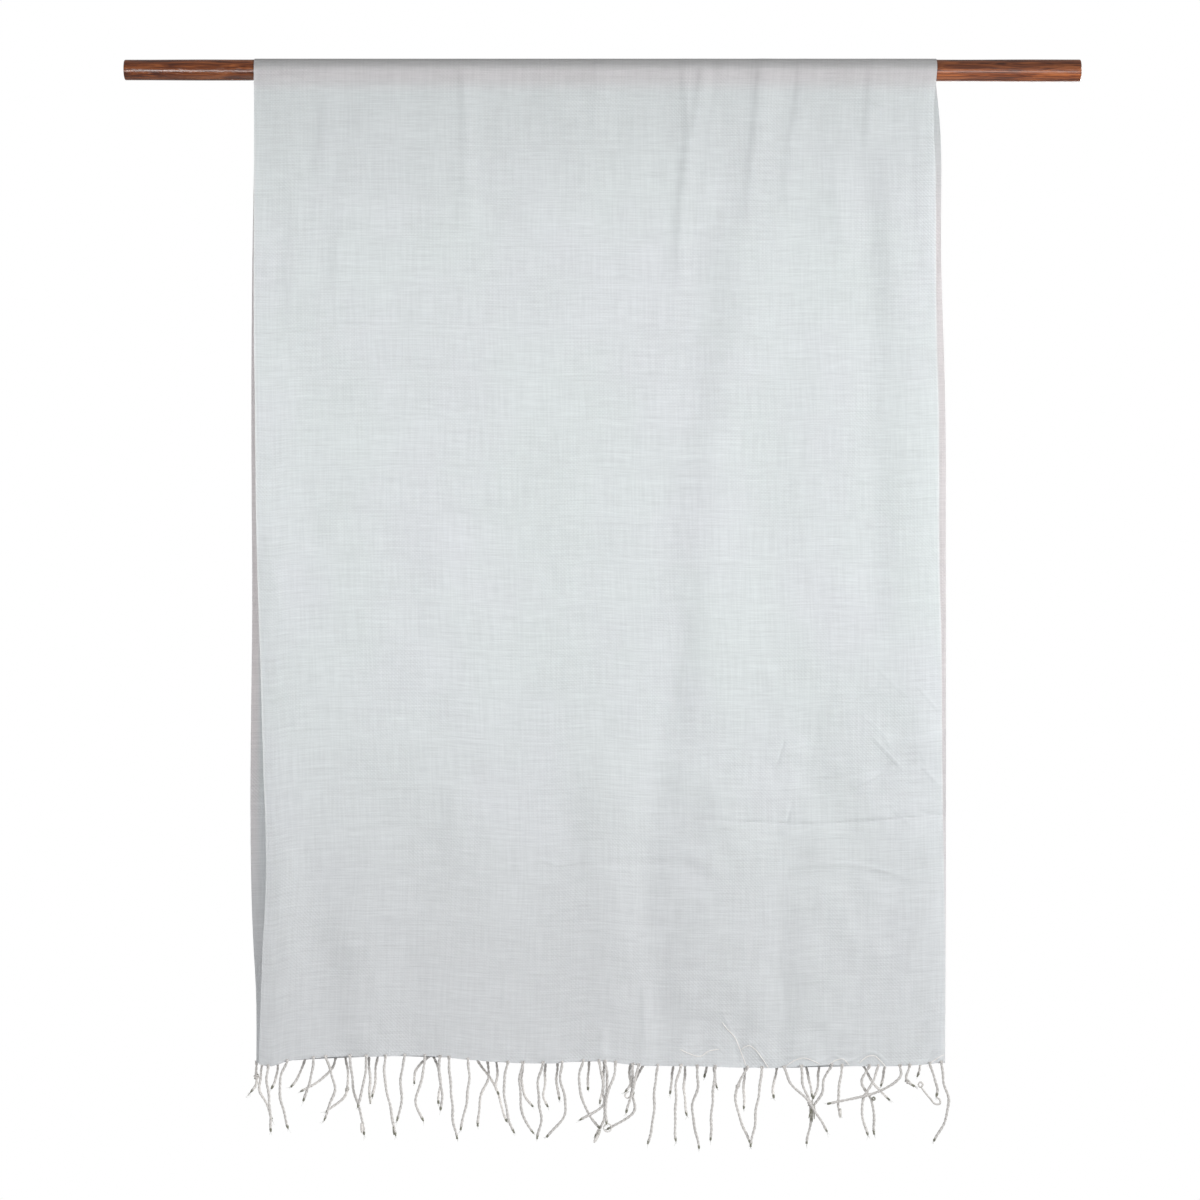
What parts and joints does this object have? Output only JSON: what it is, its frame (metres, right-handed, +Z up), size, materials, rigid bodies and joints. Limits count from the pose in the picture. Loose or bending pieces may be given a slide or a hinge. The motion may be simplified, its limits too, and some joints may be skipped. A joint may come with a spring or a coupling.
{
  "type": "shawl hung over a wooden rod",
  "caption": "Long rectangular woven shawl with twisted fringe at both ends, hung over a round wooden rod with one half in front and one behind.",
  "frame": {"origin": "middle of the rod's axis, where the rod is held", "axes": "+X along the rod, -Y is the front of the shawl, +Z up, so that both halves hang towards -Z"},
  "size_m": [0.954, 0.0484, 1.0866],
  "materials": {
    "cloth": "matt fine woven cotton, very pale grey",
    "fringe_cord": "twisted two-ply warp ends, warm pale grey",
    "wood": "varnished red-brown hardwood"
  },
  "bodies": {
    "root": {"rod": "wood", "front_fall": "cloth", "over_rod": "cloth", "back_fall": "cloth", "fringe_front": "fringe_cord", "fringe_back": "fringe_cord"}
  },
  "joints": []
}
